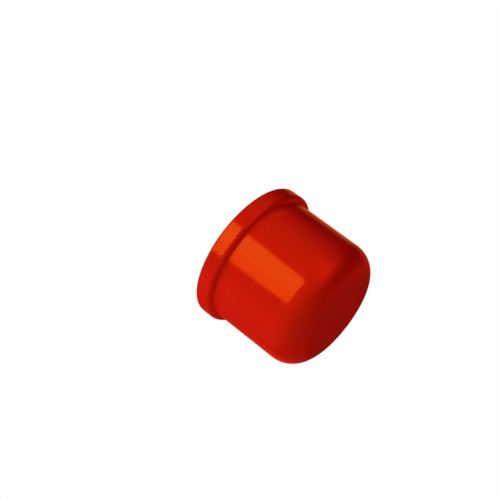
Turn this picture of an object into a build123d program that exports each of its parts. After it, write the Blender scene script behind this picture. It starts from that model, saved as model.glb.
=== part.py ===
from build123d import *
import math
import os

# Threaded protection cap, one injection-moulded piece.
# It screws over the end of a male M24 x 1.5 thread and keeps dirt out of it.
# The cap stands on its open rim with the closed end up. The origin is the
# centre of the open rim's face and +Z runs to the closed end. Millimetres.

# Outside
collar_d = 30.0  # collar round the open end, the widest part
collar_h = 3.75
collar_round = 0.9  # round on the collar's step side
rim_round = 0.6  # round on its open-end side
body_low_d = 27.5  # body where it leaves the collar
body_high_d = 27.2  # body where the shoulder begins: moulding draft
height = 23.4
shoulder_r = 5.3  # large round from the body to the flat closed end
junction_r = 0.3  # small fillet where the body meets the collar

# Inside
thread_major_d = 24.0
thread_pitch_d = 23.026
thread_minor_d = 22.7  # crests of the cap's thread
thread_pitch = 1.5
thread_top = 12.0  # the thread's crests end here
mouth_d = 25.0  # lead-in chamfer, 45 degrees
relief_low_d = 24.3  # plain bore past the thread
relief_high_d = 24.1
end_wall = 1.6
inner_corner_r = 3.8

# --- Outer form -----------------------------------------------------------
collar_r = collar_d / 2
low_r = body_low_d / 2
high_r = body_high_d / 2
straight_top = height - shoulder_r
slope = (high_r - low_r) / (straight_top - collar_h)
end_r = high_r + slope * shoulder_r  # body line carried on to the end plane

outer_lines = Polyline(
    (0, 0),
    (collar_r, 0),
    (collar_r, collar_h),
    (low_r, collar_h),
    (end_r, height),
    (0, height),
    (0, 0),
)
outer_face = make_face(outer_lines)


def corner(face, x, y):
    """The vertex of a sketch nearest to a point."""
    return min(
        face.vertices(), key=lambda v: (v.X - x) ** 2 + (v.Y - y) ** 2
    )


outer_face = fillet(corner(outer_face, collar_r, 0), rim_round)
outer_face = fillet(corner(outer_face, collar_r, collar_h), collar_round)
outer_face = fillet(corner(outer_face, low_r, collar_h), junction_r)
outer_face = fillet(corner(outer_face, end_r, height), shoulder_r)
outer = revolve(Plane.XZ * outer_face, Axis.Z)

# --- Cavity ---------------------------------------------------------------
minor_r = thread_minor_d / 2
mouth_r = mouth_d / 2
relief_low_r = relief_low_d / 2
relief_high_r = relief_high_d / 2
ceiling = height - end_wall
chamfer_top = mouth_r - minor_r  # 45 degree lead-in
step_top = thread_top + (relief_low_r - minor_r)  # 45 degree end of thread
reach = 1.0  # how far the cutting solids stand out of the mouth

cavity_lines = Polyline(
    (0, -reach),
    (mouth_r + reach, -reach),
    (minor_r, chamfer_top),
    (minor_r, thread_top),
    (relief_low_r, step_top),
    (relief_high_r, ceiling),
    (0, ceiling),
    (0, -reach),
)
cavity_face = make_face(cavity_lines)
cavity_face = fillet(corner(cavity_face, relief_high_r, ceiling), inner_corner_r)
cavity = revolve(Plane.XZ * cavity_face, Axis.Z)

# --- Thread ---------------------------------------------------------------
# A 60 degree groove cut into the wall between the crests, from below the rim
# face to past the last crest, where it runs out into the wider plain bore.
tan30 = math.tan(math.radians(30))
pitch_r = thread_pitch_d / 2
major_r = thread_major_d / 2
groove_in = minor_r - 0.15
half_in = thread_pitch / 4 + (pitch_r - groove_in) * tan30
half_out = thread_pitch / 4 - (major_r - pitch_r) * tan30
groove_start = -1.4
groove_end = thread_top + 1.6

section = Plane.XZ * Pos(0, groove_start) * make_face(
    Polyline(
        (groove_in, -half_in),
        (major_r, -half_out),
        (major_r, half_out),
        (groove_in, half_in),
        (groove_in, -half_in),
    )
)
path = Helix(
    pitch=thread_pitch,
    height=groove_end - groove_start,
    radius=pitch_r,
    center=(0, 0, groove_start),
)
groove = sweep(section, path=path, is_frenet=True)

# The crests' wall is bored and threaded first, then the mouth's chamfer and
# the wider room past the thread are opened up round it.
crest_bore = Cylinder(
    radius=minor_r,
    height=reach + groove_end + 1.0,
    align=(Align.CENTER, Align.CENTER, Align.MIN),
).moved(Location((0, 0, -reach)))
cap = outer - crest_bore - groove - cavity

solids = cap.solids()
print("solids", len(solids), "valid", cap.is_valid, "volume mm3", cap.volume)
print("groove volume mm3", groove.volume)

os.makedirs("parts", exist_ok=True)
body = solids[0]
body.label = "threaded_cap"
export_step(body, "parts/threaded_cap.step")
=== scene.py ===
"""Looks, light and camera for the threaded protection cap.

The cap stands on its open rim, so the camera looks down on it at about 24
degrees and is rolled on its own axis, which lays the cap's axis across the
picture from upper left to lower right.
"""

import math

import bpy
from mathutils import Matrix, Vector


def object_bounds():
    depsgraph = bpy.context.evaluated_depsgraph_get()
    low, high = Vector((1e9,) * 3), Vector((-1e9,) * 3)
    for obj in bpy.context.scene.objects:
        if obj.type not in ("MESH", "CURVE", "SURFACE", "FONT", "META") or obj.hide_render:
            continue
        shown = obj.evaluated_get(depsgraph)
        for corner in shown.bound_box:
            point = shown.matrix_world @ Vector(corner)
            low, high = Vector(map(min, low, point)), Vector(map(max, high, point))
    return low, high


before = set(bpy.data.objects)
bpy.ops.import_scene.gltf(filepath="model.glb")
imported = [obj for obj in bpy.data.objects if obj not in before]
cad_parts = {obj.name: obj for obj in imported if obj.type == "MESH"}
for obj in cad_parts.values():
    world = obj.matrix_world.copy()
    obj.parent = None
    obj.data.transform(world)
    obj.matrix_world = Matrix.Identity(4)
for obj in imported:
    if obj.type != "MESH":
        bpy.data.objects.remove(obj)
cad_lo, cad_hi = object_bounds()

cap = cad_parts["threaded_cap"]
R = (cad_hi.x - cad_lo.x) / 2  # collar radius, the unit of the layout below

scene = bpy.context.scene
scene.view_settings.view_transform = "Standard"
scene.view_settings.look = "None"
scene.view_settings.exposure = 0.0
scene.view_settings.gamma = 1.0


# --- Camera -----------------------------------------------------------------
# Where the camera stands, in collar radii, and how far it is rolled.
CAM_DISTANCE = 12.0
CAM_ELEVATION = math.radians(24.225)
AXIS_FALL = math.radians(37.163)  # the cap's axis falls this far below the image's horizontal
SCALE_PX = 74.0  # image pixels per collar radius at the cap's rim
SHIFT_X, SHIFT_Y = -1.801, 0.688  # rim centre from the image centre, in pixels


def camera_rotation(elevation, fall):
    """Rows of the cap's frame to camera frame rotation."""
    w = Vector((
        math.cos(elevation) * math.cos(fall),
        -math.cos(elevation) * math.sin(fall),
        math.sin(elevation),
    ))
    e1 = w.cross(Vector((0, 0, 1))).normalized()
    e2 = w.cross(e1)
    return Matrix((
        (e1.x, e2.x, w.x, 0),
        (e1.y, e2.y, w.y, 0),
        (e1.z, e2.z, w.z, 0),
        (0, 0, 0, 1),
    ))


to_camera = Matrix.Translation(
    Vector((SHIFT_X / SCALE_PX, -SHIFT_Y / SCALE_PX, -CAM_DISTANCE)) * R
) @ camera_rotation(CAM_ELEVATION, AXIS_FALL)

cam_data = bpy.data.cameras.new("camera")
cam_data.sensor_width = 36.0
cam_data.sensor_fit = "HORIZONTAL"
cam_data.lens = 36.0 * SCALE_PX * CAM_DISTANCE / 500.0
cam_data.clip_start = 0.01
cam_data.clip_end = 20.0
cam_data.dof.use_dof = False
camera = bpy.data.objects.new("camera", cam_data)
scene.collection.objects.link(camera)
camera.matrix_world = to_camera.inverted()
scene.camera = camera


# --- Small node helpers -------------------------------------------------------
def new_material(name):
    mat = bpy.data.materials.new(name)
    mat.use_nodes = True
    nt = mat.node_tree
    nt.nodes.clear()
    return mat, nt


def node(nt, kind, **values):
    n = nt.nodes.new(kind)
    for k, v in values.items():
        setattr(n, k, v)
    return n


# --- Plastic -------------------------------------------------------------------
MM = 0.001


def red_plastic():
    """Glossy moulded polyethylene, saturated red.

    The polished outside has a faint ripple, a fine grain and a few soft scuffs
    in its gloss. Inside, where the threaded core shaped it, it is duller.
    """
    mat, nt = new_material("red_plastic")
    link = nt.links.new
    out = node(nt, "ShaderNodeOutputMaterial")
    sh = node(nt, "ShaderNodeBsdfPrincipled")
    link(sh.outputs[0], out.inputs["Surface"])
    sh.inputs["IOR"].default_value = 1.5
    sh.inputs["Specular Tint"].default_value = (1.0, 0.22, 0.045, 1)

    coords = node(nt, "ShaderNodeTexCoord").outputs["Object"]

    def maths(operation, a, b=0.0, clamp=False):
        n = node(nt, "ShaderNodeMath", operation=operation, use_clamp=clamp)
        for socket, v in zip(n.inputs, (a, b)):
            if isinstance(v, (int, float)):
                socket.default_value = v
            else:
                link(v, socket)
        return n.outputs[0]

    def noise(size, detail=2.0, rough=0.5, source=None):
        """Noise whose features are about size millimetres across."""
        n = node(nt, "ShaderNodeTexNoise")
        n.inputs["Scale"].default_value = 1 / (size * MM)
        n.inputs["Detail"].default_value = detail
        n.inputs["Roughness"].default_value = rough
        link(source or coords, n.inputs["Vector"])
        return n.outputs["Fac"]

    def remap(value, lo, hi, to_lo, to_hi, kind="SMOOTHSTEP"):
        n = node(nt, "ShaderNodeMapRange", interpolation_type=kind)
        link(value, n.inputs["Value"])
        n.inputs["From Min"].default_value = lo
        n.inputs["From Max"].default_value = hi
        n.inputs["To Min"].default_value = to_lo
        n.inputs["To Max"].default_value = to_hi
        return n.outputs["Result"]

    # 0 on the outside and 1 on the cavity's walls: how deep a point lies under
    # a rounded cylinder that follows the outer form.
    axes = node(nt, "ShaderNodeSeparateXYZ")
    link(coords, axes.inputs[0])
    x, y, z = axes.outputs
    radial = maths("SQRT", maths("ADD", maths("MULTIPLY", x, x), maths("MULTIPLY", y, y)))
    over_r = maths("MAXIMUM", maths("SUBTRACT", radial, 8.3 * MM), 0.0)
    over_z = maths("MAXIMUM", maths("SUBTRACT", z, 18.1 * MM), 0.0)
    shell = maths("SQRT", maths("ADD", maths("MULTIPLY", over_r, over_r), maths("MULTIPLY", over_z, over_z)))
    inside = remap(shell, 4.35 * MM, 4.65 * MM, 1.0, 0.0)

    # Colour: slow clouds and a little pigment streaking round the wall.
    spun = node(nt, "ShaderNodeCombineXYZ")
    link(maths("MULTIPLY", x, 0.35), spun.inputs["X"])
    link(maths("MULTIPLY", y, 0.35), spun.inputs["Y"])
    link(maths("MULTIPLY", z, 1.6), spun.inputs["Z"])
    clouds = noise(9.0, 3.0)
    streaks = noise(1.6, 3.0, 0.6, spun.outputs[0])
    tone = maths("ADD", maths("MULTIPLY", clouds, 0.65), maths("MULTIPLY", streaks, 0.35))
    ramp = node(nt, "ShaderNodeValToRGB")
    ramp.color_ramp.elements[0].position = 0.33
    ramp.color_ramp.elements[0].color = (0.575, 0.0024, 0.0008, 1)
    ramp.color_ramp.elements[1].position = 0.67
    ramp.color_ramp.elements[1].color = (0.625, 0.0036, 0.0012, 1)
    link(tone, ramp.inputs["Fac"])
    link(ramp.outputs["Color"], sh.inputs["Base Color"])

    # Gloss: polished outside with fine mottle and sparse handling scuffs.
    mottle = noise(0.7, 4.0, 0.6)
    patches = remap(noise(5.0, 2.0), 0.58, 0.70, 0.0, 1.0)
    hairs = remap(noise(0.22, 2.0, 0.5, spun.outputs[0]), 0.60, 0.72, 0.0, 1.0)
    scuffs = maths("MULTIPLY", patches, hairs)
    gloss = maths("ADD", maths("MULTIPLY", mottle, 0.030), 0.130)
    gloss = maths("ADD", gloss, maths("MULTIPLY", scuffs, 0.07))
    link(maths("ADD", gloss, maths("MULTIPLY", inside, 0.12)), sh.inputs["Roughness"])

    # Relief: a slow ripple from uneven shrinkage, under a fine grain that is
    # stronger inside.
    grain = maths("MULTIPLY", noise(0.35, 2.0), maths("ADD", maths("MULTIPLY", inside, 1.5), 0.5))
    relief = maths("ADD", maths("MULTIPLY", noise(4.5, 1.0), 6.0), grain)
    bump = node(nt, "ShaderNodeBump")
    bump.inputs["Strength"].default_value = 1.0
    bump.inputs["Distance"].default_value = 0.0012 * MM
    link(relief, bump.inputs["Height"])
    link(bump.outputs["Normal"], sh.inputs["Normal"])
    return mat


mat = red_plastic()
for s in cap.material_slots:
    s.material = mat
if not cap.material_slots:
    cap.data.materials.append(mat)


# --- Floor, seen by the camera only ------------------------------------------------
def disc(name, radius, z, steps=96):
    mesh = bpy.data.meshes.new(name)
    verts = [
        (radius * math.cos(2 * math.pi * i / steps), radius * math.sin(2 * math.pi * i / steps), z)
        for i in range(steps)
    ]
    mesh.from_pydata(verts, [], [tuple(range(steps))])
    obj = bpy.data.objects.new(name, mesh)
    scene.collection.objects.link(obj)
    return obj


floor = disc("floor", 4.0, -0.0002)
fmat, nt = new_material("floor")
out = node(nt, "ShaderNodeOutputMaterial")
em = node(nt, "ShaderNodeEmission")
em.inputs["Color"].default_value = (1, 1, 1, 1)
em.inputs["Strength"].default_value = 1.0
# Clear from below, so the open end can be looked into.
clear = node(nt, "ShaderNodeBsdfTransparent")
side = node(nt, "ShaderNodeNewGeometry")
mix = node(nt, "ShaderNodeMixShader")
nt.links.new(side.outputs["Backfacing"], mix.inputs[0])
nt.links.new(em.outputs[0], mix.inputs[1])
nt.links.new(clear.outputs[0], mix.inputs[2])
nt.links.new(mix.outputs[0], out.inputs["Surface"])
floor.data.materials.append(fmat)
floor.visible_glossy = False
floor.visible_diffuse = False
floor.visible_transmission = False
floor.visible_shadow = False


# --- Light ------------------------------------------------------------------------
# Directions are given as (azimuth, elevation) in degrees, seen from the cap:
# azimuth 0 is in front of it, toward -Y, and 90 is on its +X side.
def direction(azimuth, elevation):
    a, e = math.radians(azimuth), math.radians(elevation)
    return Vector((math.sin(a) * math.cos(e), -math.cos(a) * math.cos(e), math.sin(e)))


def place(obj, position, toward, up=Vector((0, 0, 1)), roll=0.0):
    """Stand a light at a position with its -Z axis along toward."""
    z = -Vector(toward).normalized()
    x = up.cross(z).normalized()
    y = z.cross(x)
    c, s = math.cos(roll), math.sin(roll)
    x, y = c * x + s * y, -s * x + c * y
    obj.matrix_world = Matrix((
        (x.x, y.x, z.x, position[0]),
        (x.y, y.y, z.y, position[1]),
        (x.z, y.z, z.z, position[2]),
        (0, 0, 0, 1),
    ))


def fill(name, azimuth, elevation, irradiance, colour, spread=75.0):
    """A broad soft light that shades the plastic and isn't mirrored in it."""
    data = bpy.data.lights.new(name, "SUN")
    data.energy = irradiance
    data.color = colour
    data.angle = math.radians(spread)
    obj = bpy.data.objects.new(name, data)
    scene.collection.objects.link(obj)
    toward = -direction(azimuth, elevation)
    place(obj, -toward * R * 20, toward)
    obj.visible_glossy = False
    obj.visible_camera = False
    return obj


def softbox(name, azimuth, elevation, distance, x0, x1, y0, y1, roll, tilt, radiance):
    """A rectangular light that is only mirrored; sizes are tangents of its half angles."""
    toward = -direction(azimuth, elevation)
    x = Vector((0, 0, 1)).cross(toward).normalized()
    y = toward.cross(x)
    c, s = math.cos(roll), math.sin(roll)
    x, y = c * x + s * y, -s * x + c * y
    n = (toward + tilt * x).normalized()
    x = (x - x.dot(n) * n).normalized()
    y = n.cross(x)
    centre = Vector((0, 0, 0.8)) * R - toward * distance * R
    centre += (x * (x0 + x1) / 2 + y * (y0 + y1) / 2) * distance * R
    data = bpy.data.lights.new(name, "AREA")
    data.shape = "RECTANGLE"
    data.size = (x1 - x0) * distance * R
    data.size_y = (y1 - y0) * distance * R
    top = max(radiance)
    data.energy = 4 * top * data.size * data.size_y
    data.color = tuple(v / top for v in radiance)
    obj = bpy.data.objects.new(name, data)
    scene.collection.objects.link(obj)
    obj.matrix_world = Matrix((
        (-x.x, y.x, -n.x, centre.x),
        (-x.y, y.y, -n.y, centre.y),
        (-x.z, y.z, -n.z, centre.z),
        (0, 0, 0, 1),
    ))
    obj.visible_camera = False
    obj.visible_diffuse = False
    return obj


# The main light, a large panel in two parts that differ a little in colour.
softbox("key_left", 4.104, -28.483, 12.0, -0.10, 0.412, -0.25, 0.416, 0.119, 0.08, (4.45, 4.15, 1.10))
softbox("key_right", 4.104, -28.483, 12.0, -0.412, -0.10, -0.25, 0.416, 0.119, 0.08, (4.38, 3.05, 0.35))

ALBEDO = 0.62
for i, (az, el, level, spread) in enumerate([
    (0, 45, 0.19, 75), (-14, -43, 0.23, 20), (60, 20, 0.09, 75), (60, -30, 0.24, 75),
    (111, -13, 0.25, 20), (180, -20, 0.45, 75), (-176, 9, 0.21, 75), (90, 45, 0.04, 75),
]):
    fill("fill_%d" % (i + 1), az, el, level * math.pi / ALBEDO, (1.0, 0.9, 0.8), spread)

# Broad soft shapes round the cap that its gloss mirrors: azimuth, elevation,
# tightness, and radiance in red, green and blue.
SOFT_SHAPES = [
    (-53.9, 17.1, 10.4, (2.62, 0.70, 0.45)),
    (-61.6, 15.3, 12.9, (2.09, 0.12, 0.04)),
    (-48.5, 33.0, 21.3, (2.31, 0.20, 0.08)),
    (-52.1, -24.6, 8.4, (2.55, 0.59, 0.18)),
    (-89.7, -33.6, 19.4, (1.78, 0.05, 0.01)),
    (-23.6, -24.7, 61.4, (1.35, 0.0, 0.0)),
    (0.0, 1.4, 4.6, (2.20, 0.90, 0.50)),
    (5.0, -60.0, 5.0, (1.94, 0.0, 0.05)),
    (71.9, -27.3, 48.1, (1.37, 0.0, 0.0)),
    (100.0, -20.0, 20.0, (0.56, 0.0, 0.0)),
    (-146.1, 37.0, 15.0, (0.90, 0.02, 0.01)),
    (159.1, 28.6, 31.4, (0.56, 0.0, 0.0)),
    (-151.5, 2.5, 25.1, (0.97, 0.02, 0.01)),
    (153.0, -8.7, 25.8, (1.11, 0.05, 0.02)),
    (-150.4, -22.2, 52.2, (0.81, 0.10, 0.02)),
    (-165.0, -22.0, 80.0, (0.54, 0.19, 0.02)),
    (-173.4, 75.0, 6.9, (0.34, 0.02, 0.0)),
    (125.0, -22.0, 60.0, (0.39, 0.0, 0.0)),
    (-20.0, 40.0, 12.0, (0.33, 0.27, 0.0)),
    (60.0, 15.0, 12.0, (0.63, 0.0, 0.13)),
    (56.9, -3.6, 3.6, (0.00, 0.42, 0.16)),
    (54.1, 48.3, 4.4, (0.00, 0.45, 0.10)),
    (0.0, 90.0, 8.0, (0.00, 0.11, 0.04)),
]

world = bpy.data.worlds.new("world")
scene.world = world
world.use_nodes = True
world.cycles.sampling_method = "NONE"
wt = world.node_tree
wt.nodes.clear()
link = wt.links.new
coords = node(wt, "ShaderNodeTexCoord")
total = None
for az, el, tight, radiance in SOFT_SHAPES:
    dot = node(wt, "ShaderNodeVectorMath", operation="DOT_PRODUCT")
    link(coords.outputs["Generated"], dot.inputs[0])
    dot.inputs[1].default_value = direction(az, el)
    fall = node(wt, "ShaderNodeMath", operation="MULTIPLY_ADD")
    link(dot.outputs["Value"], fall.inputs[0])
    fall.inputs[1].default_value = tight
    fall.inputs[2].default_value = -tight
    soft = node(wt, "ShaderNodeMath", operation="EXPONENT")
    link(fall.outputs[0], soft.inputs[0])
    add = node(wt, "ShaderNodeVectorMath", operation="MULTIPLY_ADD")
    link(soft.outputs[0], add.inputs[0])
    add.inputs[1].default_value = radiance
    if total is None:
        add.inputs[2].default_value = (0, 0, 0)
    else:
        link(total, add.inputs[2])
    total = add.outputs[0]


def background(colour, strength=1.0, source=None):
    n = node(wt, "ShaderNodeBackground")
    n.inputs["Color"].default_value = (*colour, 1)
    n.inputs["Strength"].default_value = strength
    if source is not None:
        link(source, n.inputs["Color"])
    return n.outputs[0]


def pick(condition, no, yes):
    n = node(wt, "ShaderNodeMixShader")
    link(condition, n.inputs[0])
    link(no, n.inputs[1])
    link(yes, n.inputs[2])
    return n.outputs[0]


rays = node(wt, "ShaderNodeLightPath")
mirrored = pick(rays.outputs["Is Glossy Ray"], background((0.05, 0.045, 0.04)), background((0, 0, 0), 1.0, total))
seen = pick(rays.outputs["Is Camera Ray"], mirrored, background((1, 1, 1)))
link(seen, node(wt, "ShaderNodeOutputWorld").inputs["Surface"])
